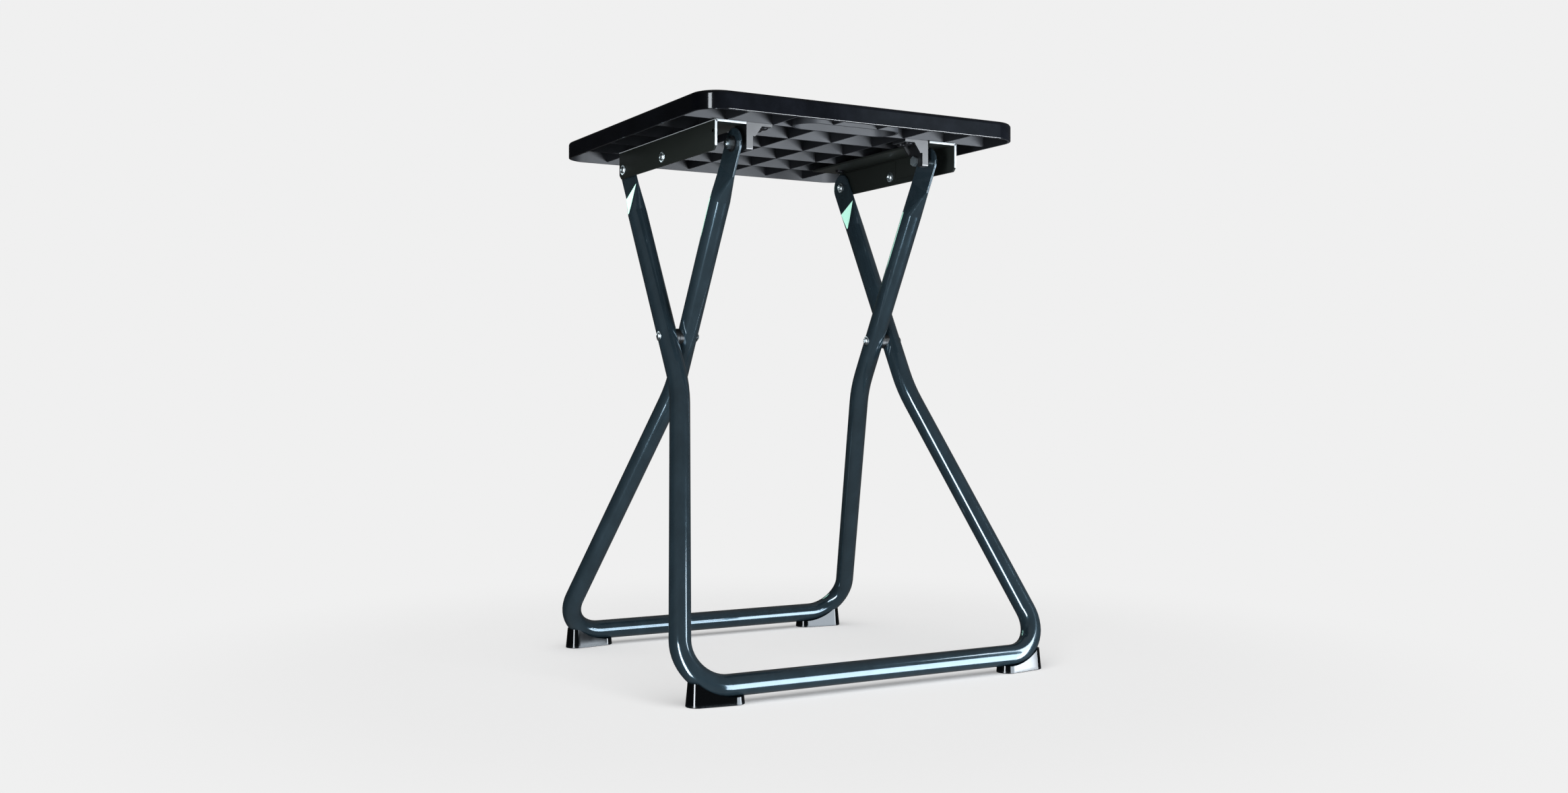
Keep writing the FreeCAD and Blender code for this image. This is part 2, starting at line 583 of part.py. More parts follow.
def hook_bolt(side):
    """The hex bolt across the bracket and the inner leg's flat."""
    head_face = HOOK_INNER_X - HOOK_CLEARANCE
    head = hexagon(BOLT_ACROSS_FLATS, side * (head_face - BOLT_HEAD_HEIGHT), side * head_face,
                   -HINGE_Y, HINGE_Z)
    tip = nut_face() + NUT_HEIGHT + BOLT_TIP
    shank = x_rod(RIVET_RADIUS, side * head_face, side * tip, -HINGE_Y, HINGE_Z)
    return fuse(head, shank)


def nut_face():
    """The station where the nut bears on the black washer."""
    return INNER_FLAT_X + FLAT_THICKNESS / 2 + WASHER_THICKNESS


def hook_nut(side):
    """The hex nut outside the inner leg's flat."""
    face = nut_face()
    back = face + NUT_HEIGHT
    nut = hexagon(BOLT_ACROSS_FLATS, side * face, side * back, -HINGE_Y, HINGE_Z)
    return cut(nut, x_rod(RIVET_RADIUS, side * (face - OVERRUN), side * (back + OVERRUN), -HINGE_Y,
                          HINGE_Z))


def ring_on_bolt(side, x0, x1, radius):
    """A washer or sleeve round the hook bolt."""
    ring = x_rod(radius, side * x0, side * x1, -HINGE_Y, HINGE_Z)
    return cut(ring, x_rod(RIVET_RADIUS, side * (x0 - OVERRUN), side * (x1 + OVERRUN), -HINGE_Y,
                           HINGE_Z))


# ---- feet -----------------------------------------------------------------------------------------
def foot_outline(inset, z):
    """A foot's stadium outline at a height, centred on the foot's middle."""
    radius = FOOT_WIDTH / 2 - inset
    reach = (FOOT_LENGTH - FOOT_WIDTH) / 2
    edges = [Part.LineSegment(V(-reach, -radius, z), V(reach, -radius, z)).toShape(),
             Part.Arc(V(reach, -radius, z), V(reach + radius, 0, z), V(reach, radius, z)).toShape(),
             Part.LineSegment(V(reach, radius, z), V(-reach, radius, z)).toShape(),
             Part.Arc(V(-reach, radius, z), V(-reach - radius, 0, z), V(-reach, -radius, z)).toShape()]
    return Part.Wire(edges)


def foot_profile():
    """A wide block whose top is level at the outer end and sweeps down to the inner end."""
    half = FOOT_LENGTH / 2 + OVERRUN
    bottom_outer = V(half, -FOOT_WIDTH, 0)
    bottom_inner = V(-half, -FOOT_WIDTH, 0)
    top_outer = V(half, -FOOT_WIDTH, FOOT_OUTER_HEIGHT)
    land_end = V(half - OVERRUN - FOOT_LAND, -FOOT_WIDTH, FOOT_OUTER_HEIGHT)
    dip = V(0, -FOOT_WIDTH, FOOT_DIP_HEIGHT)
    top_inner = V(-half, -FOOT_WIDTH, FOOT_INNER_HEIGHT)
    edges = [Part.LineSegment(bottom_inner, bottom_outer).toShape(),
             Part.LineSegment(bottom_outer, top_outer).toShape(),
             Part.LineSegment(top_outer, land_end).toShape(),
             Part.Arc(land_end, dip, top_inner).toShape(),
             Part.LineSegment(top_inner, bottom_inner).toShape()]
    return Part.Face(Part.Wire(edges)).extrude(V(0, 2 * FOOT_WIDTH, 0))


def foot(side, frame, tube):
    """A foot that cradles the corner of a leg frame: a stadium block, tall at its outer end."""
    bottom = foot_outline(0.0, 0.0)
    top = foot_outline(FOOT_DRAFT, FOOT_OUTER_HEIGHT)
    body = Part.makeLoft([bottom, top], True, True).common(foot_profile())
    body = body.makeFillet(FOOT_EDGE_RADIUS, edges_at(body, 0.0))
    head_top = FOOT_RECESS_DEPTH + SCREW_HEAD_HEIGHT
    screw_x = -FOOT_SCREW_FROM_MIDDLE
    recess = SCREW_HEAD_RADIUS + FOOT_RECESS_CLEARANCE
    body = body.cut([z_rod(SCREW_RADIUS, screw_x, 0, -OVERRUN, FOOT_OUTER_HEIGHT),
                     z_rod(recess, screw_x, 0, -OVERRUN, head_top)])
    body.translate(V(FOOT_SCREW_FROM_MIDDLE, 0, 0))
    body.rotate(V(0, 0, 0), V(0, 0, 1), -frame * FOOT_TURN)
    body.translate(V(foot_screw_x(frame), frame * FOOT_Y, 0))
    if side < 0:
        body = body.mirror(V(0, 0, 0), V(1, 0, 0))
    return cut(body, tube)


def foot_screws(frame):
    """The two screws that hold a frame's feet, up from recesses into the cross tube."""
    seat = FOOT_RECESS_DEPTH + SCREW_HEAD_HEIGHT
    tip = CROSS_TUBE_HEIGHT - TUBE_RADIUS + TUBE_WALL + FOOT_SCREW_GRIP
    screws = []
    for _, side in SIDES:
        x = side * foot_screw_x(frame)
        y = frame * FOOT_Y
        head = z_rod(SCREW_HEAD_RADIUS, x, y, FOOT_RECESS_DEPTH, seat)
        screws.append(fuse(head, z_rod(SCREW_RADIUS, x, y, seat, tip)))
    return Part.makeCompound(screws)


# ---- build ------------------------------------------------------------------------------------------
def build_side(name, side):
    """Writes the nodes that come once on each side of the top."""
    rivet_face = OUTER_FLAT_X - FLAT_THICKNESS / 2 - HEAD_CLEARANCE / 2
    save(name + "_rail", rail(side))
    save(name + "_rail_doubler", rail_doubler(side))
    save(name + "_top_rivet", web_rivet(side, HINGE_Y, rivet_face))
    save(name + "_doubler_rivet", web_rivet(side, DOUBLER_RIVET_Y, DOUBLER_INNER_X))
    save(name + "_rail_screws", screw_pair(side, RAIL_SCREW_X, RAIL_SCREW_YS, FLANGE_FOOT_Z))
    save(name + "_hook_bracket", hook_bracket(side))
    save(name + "_bracket_screws", screw_pair(side, BRACKET_SCREW_X, BRACKET_SCREW_YS,
                                              RIB_FOOT_Z - HOOK_BASE_THICKNESS))
    save(name + "_hook_bolt", hook_bolt(side))
    save(name + "_hook_nut", hook_nut(side))
    save(name + "_hook_washer", ring_on_bolt(side, nut_face() - WASHER_THICKNESS, nut_face(),
                                             WASHER_RADIUS))
    save(name + "_hook_sleeve", ring_on_bolt(side, HOOK_OUTER_X + HOOK_CLEARANCE,
                                             INNER_FLAT_X - FLAT_THICKNESS / 2, SLEEVE_RADIUS))
    save(name + "_scissor_rivet", scissor_rivet(side))
    save(name + "_outer_saddle", saddle(side, -1, OUTER_LEG_X))
    save(name + "_inner_saddle", saddle(side, 1, INNER_LEG_X))


def build():
    """Writes every node."""
    os.makedirs("parts", exist_ok=True)
    save("table_top", table_top())
    save("outer_leg_frame", leg_frame(-1, OUTER_LEG_X, OUTER_CORNER_X, OUTER_FLAT_X,
                                      RUNNING_CLEARANCE, 0.0))
    save("inner_leg_frame", leg_frame(1, INNER_LEG_X, INNER_CORNER_X, INNER_FLAT_X, 0.0,
                                      RUNNING_CLEARANCE))
    outer_bar = pipe(leg_path(-1, OUTER_LEG_X, OUTER_CORNER_X, ROUND_FROM), TUBE_RADIUS)
    inner_bar = pipe(leg_path(1, INNER_LEG_X, INNER_CORNER_X, ROUND_FROM), TUBE_RADIUS)
    for name, side in SIDES:
        build_side(name, side)
        save("front_" + name + "_foot", foot(side, -1, outer_bar))
        save("rear_" + name + "_foot", foot(side, 1, inner_bar))
    save("left_rail_stud", rail_stud())
    save("front_foot_screws", foot_screws(-1))
    save("rear_foot_screws", foot_screws(1))


build()
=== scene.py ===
"""Finishes a folding side table: a moulded tray top on two crossed U-shaped tube legs.

Metres, +Z up, in the frame of the packed model. The hand hold is at the front (-Y) edge.
"""

import json
import math

import bmesh
import bpy
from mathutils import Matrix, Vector

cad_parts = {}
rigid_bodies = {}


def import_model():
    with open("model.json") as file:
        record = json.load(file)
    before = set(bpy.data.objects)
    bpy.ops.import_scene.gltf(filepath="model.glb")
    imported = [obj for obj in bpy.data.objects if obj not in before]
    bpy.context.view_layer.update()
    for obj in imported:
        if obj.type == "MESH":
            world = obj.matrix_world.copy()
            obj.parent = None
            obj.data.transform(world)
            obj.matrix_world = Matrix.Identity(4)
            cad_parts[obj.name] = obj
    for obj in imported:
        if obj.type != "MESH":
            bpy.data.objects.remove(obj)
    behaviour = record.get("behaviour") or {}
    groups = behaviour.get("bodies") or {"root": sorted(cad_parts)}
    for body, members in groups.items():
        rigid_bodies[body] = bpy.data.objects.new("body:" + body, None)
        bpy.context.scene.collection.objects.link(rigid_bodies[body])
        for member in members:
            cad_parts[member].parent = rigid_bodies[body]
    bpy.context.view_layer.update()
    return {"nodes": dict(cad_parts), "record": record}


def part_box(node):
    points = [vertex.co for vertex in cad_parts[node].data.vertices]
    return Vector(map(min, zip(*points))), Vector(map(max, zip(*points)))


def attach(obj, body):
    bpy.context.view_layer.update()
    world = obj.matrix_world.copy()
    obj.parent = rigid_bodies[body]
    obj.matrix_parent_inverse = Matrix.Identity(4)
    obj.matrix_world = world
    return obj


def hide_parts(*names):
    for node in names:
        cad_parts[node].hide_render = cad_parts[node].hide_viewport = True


bl_info = {
    "name": "Folding Side Table",
    "version": (1, 0, 0),
    "blender": (4, 5, 0),
    "location": "View3D > Sidebar > Side Table",
    "description": "Finishes the tray, legs, rails, fasteners and feet of a folding side table",
    "category": "Object",
}

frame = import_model()

SIDES = (("left", -1), ("right", 1))

# tray
TRAY_CORNER = 0.029                  # radius of the corners
TRAY_WALL = 0.003

# rails
RAIL_STEEL = 0.0025
RAIL_BEND = 0.0012                   # radius of the bend at the heel
RAIL_CUT_CORNER = 0.0045
RAIL_ROUNDING = 0.0003               # of the sheared edges
RAIL_END_PLATED_AND_HIGHLIGHT = 0.0003               # how far the pale colour of the uncoated cut end, which also stands in as the painted highlight of its edge, reaches in
RAIL_HEEL_HIGHLIGHT = 0.0012              # and how far round the heel the painted highlight of the bend reaches
RAIL_SHARP = math.radians(40.0)      # edges that bend more than this are rounded
RAIL_SMOOTH_BELOW = math.radians(50.0)
NOTCH_GAP = 0.001                    # between a rail's notch and its hook bracket

# rivets. Each head's outline is (height, radius), in parts of the head's own height and radius
RIVET_KINDS = ("top_rivet", "doubler_rivet", "scissor_rivet")
RIVET_HEAD = 0.0028
RIVET_SHANK = 0.003
RIVET_STEPS = 40
RIVET_SMOOTH_BELOW = math.radians(38.0)
DOMED_HEAD = ((1.0, 0.0), (0.98, 0.16), (0.90, 0.32), (0.74, 0.47), (0.50, 0.60), (0.27, 0.67),
              (0.25, 0.90), (0.19, 0.97), (0.09, 1.0), (0.0, 0.98))
CLINCHED_HEAD = ((0.45, 0.0), (0.46, 0.18), (0.70, 0.27), (0.96, 0.36), (1.0, 0.44), (0.92, 0.54),
                 (0.62, 0.68), (0.27, 0.76), (0.25, 0.92), (0.12, 1.0), (0.0, 0.98))
DOUBLES = 1e-6                       # vertices nearer than this are merged

# floor and backdrop
FLOOR_RADIUS = 30.0
FLOOR_SIDES = 96
FLOOR_FADE = (0.42, 0.85)            # where the floor melts into the backdrop, from the middle
FLOOR_GLOW = 0.30                    # the part of the floor's brightness that no shadow takes
FLOOR_WHITE = 0.9                    # of the floor's paint
DOME_LIGHT = 0.11                    # even light from all round on matt surfaces
DARK_HEADING = math.radians(120.0)   # the side of the room that is left dark, counted from +X
DARK_TONE = (0.012, 0.012, 0.012)
DARK_SIDE = (0.35, 0.85)             # the cosines between which the room goes dark
DARK_SHARE = 0.9                     # how much of the room's tone is lost there
ROOM_TONES = ((0.0, 0.16), (0.3, 0.10), (0.48, 0.04), (0.6, 0.07), (0.77, 0.10), (0.93, 0.13),
              (1.0, 0.24))           # how bright the mirrored room is, from below (0) to above (1)

# lights
SUN_LIGHT = 1.80
SUN_SOFTNESS = math.radians(70.0)
SUN_AIM = (0.20, 0.35, -0.92)
SUN_HEIGHT = 2.0
SENSOR_WIDTH = 36.0
FASTENER_WORDS = ("rivet", "nut", "bolt", "stud")


# ---- settings ---------------------------------------------------------------------------
def colour(name, description, default):
    """A linear colour setting."""
    return bpy.props.FloatVectorProperty(name=name, description=description, default=default,
                                         size=3, min=0.0, max=1.0, subtype="COLOR")


def share(name, description, default):
    """A setting from 0 to 1."""
    return bpy.props.FloatProperty(name=name, description=description, default=default,
                                   min=0.0, max=1.0, subtype="FACTOR")


def length(name, description, default):
    """A size in metres."""
    return bpy.props.FloatProperty(name=name, description=description, default=default,
                                   min=0.0, precision=5, unit="LENGTH")


class PlasticFinish(bpy.types.PropertyGroup):
    """The moulded black plastic of the tray, the brackets, the saddles and the feet."""
    tray: colour("Tray", "Colour of the tray's outer skin", (0.0011, 0.0013, 0.0018))
    underside: colour("Underside", "Colour of the ribs and the brackets", (0.0062, 0.0070, 0.0085))
    tray_roughness: share("Tray roughness", "Roughness of the tray's satin surface", 0.11)
    foot: colour("Foot", "Colour of the feet", (0.0007, 0.0009, 0.0011))
    foot_roughness: share("Foot roughness", "Roughness of the polished feet", 0.05)
    spacer: colour("Spacer", "Colour of the saddles and washers", (0.003, 0.0032, 0.0034))
    grain: length("Grain", "Size of the moulded grain", 0.0007)


class TubeFinish(bpy.types.PropertyGroup):
    """The metallic blue-grey coat of the leg tubes."""
    paint: colour("Paint", "Colour of the metallic coat", (0.033, 0.056, 0.071))
    roughness: share("Roughness", "Roughness under the clear coat", 0.16)
    flake: length("Flake", "Size of the metallic flakes", 0.0006)
    mottle: length("Mottle", "Size of the cloudy unevenness of the coat", 0.018)


class SteelFinish(bpy.types.PropertyGroup):
    """The rails' dark coat, their pale edges (uncoated plated steel on the cut ends, also painted as their
    edge highlight, and a painted highlight round the heel) and the plated fasteners.
    """
    coat: colour("Rail coat", "Colour of the rails' coat", (0.0098, 0.0118, 0.0102))
    coat_roughness: share("Rail roughness", "Roughness of the rails' coat", 0.38)
    # painted highlight: this pale colour is the uncoated steel of the cut ends and the gleam on the rails'
    # edges and heel
    bare_and_highlight: colour("Bare steel and highlight", "Colour of the rails' plated edges", (0.80, 0.84, 0.85))
    bright: colour("Fastener", "Colour of the plated rivets, bolts and nuts", (0.58, 0.64, 0.66))
    bright_roughness: share("Fastener roughness", "Roughness of the plated fasteners", 0.26)
    black: colour("Black screw", "Colour of the blackened screws", (0.006, 0.006, 0.007))


class Studio(bpy.types.PropertyGroup):
    """The floor, the lights and the camera."""
    floor: colour("Floor", "Colour of the floor and the backdrop", (0.871, 0.871, 0.871))
    camera_place: bpy.props.FloatVectorProperty(
        name="Camera place", description="Where the camera stands", size=3,
        default=(-0.8409, -1.4744, 0.2971), subtype="TRANSLATION", unit="LENGTH")
    camera_turn: bpy.props.FloatProperty(
        name="Camera turn", description="The camera's heading, from +Y towards +X",
        default=math.radians(29.70), subtype="ANGLE", unit="ROTATION")
    camera_tilt: bpy.props.FloatProperty(
        name="Camera tilt", description="How far the camera looks up",
        default=math.radians(0.08), subtype="ANGLE", unit="ROTATION")
    lens: bpy.props.FloatProperty(
        name="Lens", description="Focal length on a 36 mm wide sensor", default=34.03,
        min=1.0, unit="CAMERA")


# ---- shader maths -------------------------------------------------------------------------
class Wire:
    """A shader socket. An expression on it adds Math nodes."""

    def __init__(self, sheet, socket):
        self.sheet = sheet
        self.socket = socket

    def _maths(self, operation, first, second):
        return self.sheet.node("ShaderNodeMath", {"operation": operation}, {0: first, 1: second})

    def __add__(self, other):
        return self._maths("ADD", self, other)

    def __radd__(self, other):
        return self._maths("ADD", other, self)

    def __sub__(self, other):
        return self._maths("SUBTRACT", self, other)

    def __rsub__(self, other):
        return self._maths("SUBTRACT", other, self)

    def __mul__(self, other):
        return self._maths("MULTIPLY", self, other)

    def __rmul__(self, other):
        return self._maths("MULTIPLY", other, self)

    def __pow__(self, other):
        return self._maths("POWER", self, other)

    def __rpow__(self, other):
        return self._maths("POWER", other, self)

    def __gt__(self, other):
        return self._maths("GREATER_THAN", self, other)

    def __lt__(self, other):
        return self._maths("LESS_THAN", self, other)

    def __abs__(self):
        return self._maths("ABSOLUTE", self, 0.0)

    def at_least(self, floor):
        """The larger of this and a number."""
        return self._maths("MAXIMUM", self, floor)

    def at_most(self, ceiling):
        """The smaller of this and a number."""
        return self._maths("MINIMUM", self, ceiling)

    def dot(self, direction):
        """The dot product with a fixed direction."""
        return self.sheet.node("ShaderNodeVectorMath", {"operation": "DOT_PRODUCT"},
                               {0: self, 1: direction}, output="Value")


class NodeSheet:
    """The node tree of one finish."""

    def __init__(self, owner):
        owner.use_nodes = True
        self.tree = owner.node_tree
        self.tree.nodes.clear()

    def node(self, kind, settings=None, inputs=None, output=0):
        """Adds a node: its settings first, then the values or wires of its sockets."""
        made = self.tree.nodes.new(kind)
        for name, value in (settings or {}).items():
            if name == "stops":
                self._set_stops(made.color_ramp, value)
            else:
                setattr(made, name, value)
        for name, value in (inputs or {}).items():
            if isinstance(value, Wire):
                self.tree.links.new(value.socket, made.inputs[name])
            else:
                made.inputs[name].default_value = value
        return Wire(self, made.outputs[output]) if made.outputs else made

    @staticmethod
    def _set_stops(ramp, stops):
        while len(ramp.elements) < len(stops):
            ramp.elements.new(1.0)
        for element, (place, tone) in zip(ramp.elements, stops):
            element.position = place
            element.color = (*tone, 1.0) if isinstance(tone, tuple) else (tone, tone, tone, 1.0)

    def place(self, stretch=(1.0, 1.0, 1.0)):
        """The piece's own coordinates, in metres, stretched for a pattern."""
        here = self.node("ShaderNodeTexCoord", output="Object")
        return self.node("ShaderNodeMapping", {"vector_type": "POINT"},
                         {"Vector": here, "Scale": stretch})

    def axes(self, where):
        """The three coordinates of a place, as numbers."""
        apart = self.node("ShaderNodeSeparateXYZ", {}, {"Vector": where})
        return [Wire(self, socket) for socket in apart.socket.node.outputs]

    def noise(self, size, where, detail=3.0, roughness=0.5):
        """Noise from 0 to 1 whose blotches are about this size in metres."""
        return self.node("ShaderNodeTexNoise", {"noise_dimensions": "3D"},
                         {"Vector": where, "Scale": 1.0 / size, "Detail": detail,
                          "Roughness": roughness})

    def ramp(self, value, *stops):
        """The value through a colour ramp of (place, tone) stops."""
        return self.node("ShaderNodeValToRGB", {"stops": stops}, {"Fac": value})

    def between(self, value, low, high):
        """The value's way from low to high, smoothly, from 0 to 1."""
        return self.node("ShaderNodeMapRange", {"interpolation_type": "SMOOTHSTEP", "clamp": True},
                         {"Value": value, "From Min": low, "From Max": high,
                          "To Min": 0.0, "To Max": 1.0})

    def blend(self, factor, first, second):
        """A mix of two colours, by the node's sockets for a factor and for colours."""
        return self.node("ShaderNodeMix", {"data_type": "RGBA"},
                         {0: factor, 6: self._tone(first), 7: self._tone(second)}, output=2)

    @staticmethod
    def _tone(tone):
        return tone if isinstance(tone, Wire) else (*tone, 1.0)

    def bump(self, height, depth):
        """A bump of this depth in metres where the height goes from 0 to 1."""
        return self.node("ShaderNodeBump", {}, {"Height": height, "Distance": depth, "Strength": 1.0})

    def surface(self, **sockets):
        """The shader of the piece, with sockets named by their words joined by underscores."""
        inputs = {name.replace("_", " "): value for name, value in sockets.items()}
        shader = self.node("ShaderNodeBsdfPrincipled", {}, inputs)
        self.node("ShaderNodeOutputMaterial", {}, {"Surface": shader})


def scaled(tone, factor):
    """A colour made lighter or darker."""
    return tuple(min(1.0, c * factor) for c in tone)


def corners(name):
    """A node's lowest and highest corners."""
    return [Vector(corner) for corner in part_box(name)]


def new_finish(name):
    """An empty material and its node sheet."""
    made = bpy.data.materials.new(name)
    return made, NodeSheet(made)


# ---- finishes -----------------------------------------------------------------------------
def under_tray(sheet, where):
    """One on everything inside the rim and under the skin, nought on the outer skin."""
    low, high = corners("table_top")
    middle, half = (low + high) / 2, (high - low) / 2
    x, y, z = sheet.axes(where)
    over_x = (abs(x - middle.x) - (half.x - TRAY_CORNER)).at_least(0.0)
    over_y = (abs(y - middle.y) - (half.y - TRAY_CORNER)).at_least(0.0)
    from_corner = (over_x * over_x + over_y * over_y) ** 0.5
    return (from_corner < TRAY_CORNER - TRAY_WALL / 2) * (z < high.z - TRAY_WALL)


def tray_plastic(finish):
    """Satin black moulded plastic with a fine grain and faint flow clouds. Inside the rim,
    where the mould was left rough, it is a paler grey."""
    material, sheet = new_finish("tray_plastic")
    where = sheet.place()
    clouds = sheet.noise(size=0.035, where=sheet.place((1.0, 0.45, 1.0)), detail=4.0, roughness=0.62)
    grain = sheet.noise(size=finish.grain, where=where, detail=2.0)
    uneven = sheet.between(clouds, 0.32, 0.72)
    skin = sheet.blend(uneven, scaled(finish.tray, 0.7), scaled(finish.tray, 1.5))
    rough = sheet.blend(uneven, scaled(finish.underside, 0.85), scaled(finish.underside, 1.15))
    inside = under_tray(sheet, where)
    sheet.surface(Base_Color=sheet.blend(inside, skin, rough),
                  Roughness=finish.tray_roughness + (clouds - 0.5) * 0.08 + inside * 0.4,
                  Specular_IOR_Level=0.26, Normal=sheet.bump(grain, depth=0.000006))
    return material


def bracket_plastic(finish):
    """The brackets' matt grey-black plastic."""
    material, sheet = new_finish("bracket_plastic")
    clouds = sheet.noise(size=0.01, where=sheet.place(), detail=4.0, roughness=0.6)
    grain = sheet.noise(size=finish.grain, where=sheet.place(), detail=2.0)
    tone = sheet.blend(clouds, scaled(finish.underside, 0.35), scaled(finish.underside, 0.6))
    sheet.surface(Base_Color=tone, Roughness=0.42 + clouds * 0.14,
                  Normal=sheet.bump(grain, depth=0.00003))
    return material


def foot_plastic(finish):
    """Polished black plastic, faintly uneven, scuffed dull near the floor."""
    material, sheet = new_finish("foot_plastic")
    where = sheet.place()
    waves = sheet.noise(size=0.012, where=where, detail=2.0)
    scuffs = sheet.noise(size=0.0012, where=sheet.place((1.0, 1.0, 0.25)), detail=5.0, roughness=0.7)
    height = sheet.axes(where)[2]
    scuffed = (1.0 - sheet.between(height, 0.0, 0.004)) * scuffs
    tone = sheet.blend(scuffed, finish.foot, scaled(finish.foot, 6.0))
    sheet.surface(Base_Color=tone, Roughness=finish.foot_roughness + scuffed * 0.35 + waves * 0.04,
                  Specular_IOR_Level=0.5, Normal=sheet.bump(waves, depth=0.000006))
    return material


def spacer_plastic(finish):
    """Smooth black nylon."""
    material, sheet = new_finish("spacer_plastic")
    clouds = sheet.noise(size=0.006, where=sheet.place(), detail=3.0)
    tone = sheet.blend(clouds, scaled(finish.spacer, 0.7), scaled(finish.spacer, 1.6))
    sheet.surface(Base_Color=tone, Roughness=0.3 + clouds * 0.12, Normal=sheet.bump(clouds, depth=0.00002))
    return material


def tube_paint(finish):
    """A metallic blue-grey coat under a clear coat, with flakes and a cloudy unevenness."""
    material, sheet = new_finish("leg_paint")
    where = sheet.place()
    clouds = sheet.noise(size=finish.mottle, where=sheet.place((1.0, 1.0, 0.35)), detail=5.0, roughness=0.6)
    flakes = sheet.node("ShaderNodeTexVoronoi", {"feature": "F1"},
                        {"Vector": where, "Scale": 1.0 / finish.flake})
    peel = sheet.noise(size=0.004, where=where, detail=1.0)
    cloudy = sheet.blend(sheet.between(clouds, 0.3, 0.75),
                         scaled(finish.paint, 0.88), scaled(finish.paint, 1.16))
    tone = sheet.blend(sheet.between(flakes, 0.5, 0.1) * 0.25, cloudy, scaled(finish.paint, 1.6))
    sheet.surface(Base_Color=tone, Metallic=0.72, Roughness=finish.roughness + (clouds - 0.5) * 0.12,
                  Coat_Weight=1.0, Coat_Roughness=0.03, Normal=sheet.bump(peel, depth=0.000003))
    return material


def rail_coat(finish):
    """A thin dark olive coat on rolled steel. The cut ends are painted pale as uncoated plated steel and as
    the highlight of their edges; round the heel the pale paint is a painted highlight on the bend.
    """
    material, sheet = new_finish("rail_paint")
    where = sheet.place()
    clouds = sheet.noise(size=0.03, where=sheet.place((1.0, 0.25, 1.0)), detail=4.0, roughness=0.6)
    peel = sheet.noise(size=0.0015, where=where, detail=2.0)
    drawn = sheet.noise(size=0.0008, where=sheet.place((1.0, 0.05, 1.0)), detail=4.0, roughness=0.7)
    low, high = corners("right_rail")
    x, y, z = sheet.axes(where)
    # the cut ends: uncoated plated steel, painted pale also for the highlight on their edges
    ends = abs(y - (low.y + high.y) / 2) > (high.y - low.y) / 2 - RAIL_END_PLATED_AND_HIGHLIGHT
    # painted highlight along the rounded heel
    heel = (abs(x) > high.x - RAIL_HEEL_HIGHLIGHT) * (z > high.z - RAIL_HEEL_HIGHLIGHT)
    edge = (ends + heel).at_most(1.0)
    coat = sheet.blend(clouds, scaled(finish.coat, 0.85), scaled(finish.coat, 1.2))
    # the pale colour of the cut ends and of the painted highlights
    plating_and_highlight = sheet.blend(drawn, scaled(finish.bare_and_highlight, 0.85), finish.bare_and_highlight)
    sheet.surface(Base_Color=sheet.blend(edge, coat, plating_and_highlight), Metallic=0.2 + edge * 0.3,
                  Roughness=finish.coat_roughness + (clouds - 0.5) * 0.14 + edge * 0.1,
                  Normal=sheet.bump(peel, depth=0.000015))
    return material


def bright_steel(finish):
    """Zinc-plated steel, faintly blue."""
    material, sheet = new_finish("bright_steel")
    clouds = sheet.noise(size=0.002, where=sheet.place(), detail=4.0, roughness=0.65)
    tone = sheet.blend(clouds, scaled(finish.bright, 0.7), scaled(finish.bright, 1.25))
    sheet.surface(Base_Color=tone, Metallic=1.0, Roughness=finish.bright_roughness + clouds * 0.12,
                  Normal=sheet.bump(clouds, depth=0.00002))
    return material


def black_steel(finish):
    """Blackened screws."""
    material, sheet = new_finish("black_steel")
    clouds = sheet.noise(size=0.002, where=sheet.place(), detail=4.0, roughness=0.65)
    tone = sheet.blend(clouds, finish.black, scaled(finish.black, 2.2))
    sheet.surface(Base_Color=tone, Metallic=0.6, Roughness=0.24 + clouds * 0.15,
                  Normal=sheet.bump(clouds, depth=0.00002))
    return material


def wear_finish(material, *nodes):
    """Gives CAD nodes a finish."""
    for name in nodes:
        piece = frame["nodes"][name]
        for place in piece.material_slots:
            place.material = material


def each_side(*endings):
    """The names of the left and the right node of each ending."""
    return [f"{name}_{ending}" for ending in endings for name, side in SIDES]


# ---- pieces -------------------------------------------------------------------------------
def add_piece(shape, name, stands_for, material, smooth_below):
    """Makes a mesh piece that stands for a CAD node and moves with its body."""
    bmesh.ops.remove_doubles(shape, verts=shape.verts, dist=DOUBLES)
    bmesh.ops.recalc_face_normals(shape, faces=shape.faces)
    for face in shape.faces:
        face.smooth = True
    mesh = bpy.data.meshes.new(name)
    shape.to_mesh(mesh)
    shape.free()
    mesh.set_sharp_from_angle(angle=smooth_below)
    mesh.materials.append(material)
    piece = bpy.data.objects.new(name, mesh)
    bpy.context.scene.collection.objects.link(piece)
    bodies = frame["record"]["behaviour"]["bodies"]
    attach(piece, next(body for body, nodes in bodies.items() if stands_for in nodes))
    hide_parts(stands_for)
    return piece


def turned_rivet(shape, low, high, side):
    """A rivet along X that fills a box, with its domed head outside and its clinched one inside."""
    middle = (low + high) / 2
    radius = (high.z - low.z) / 2
    outside, inside = (high.x, low.x) if side > 0 else (low.x, high.x)
    head = side * RIVET_HEAD
    outline = [(outside - head * (1.0 - h), radius * r) for h, r in DOMED_HEAD]
    outline += [(outside - head, RIVET_SHANK), (inside + head, RIVET_SHANK)]
    outline += [(inside + head * (1.0 - h), radius * r) for h, r in reversed(CLINCHED_HEAD)]
    points = [shape.verts.new((x, middle.y, middle.z + r)) for x, r in outline]
    edges = [shape.edges.new(pair) for pair in zip(points, points[1:])]
    bmesh.ops.spin(shape, geom=points + edges, cent=middle, axis=(1.0, 0.0, 0.0), angle=2 * math.pi,
                   steps=RIVET_STEPS, use_merge=True)


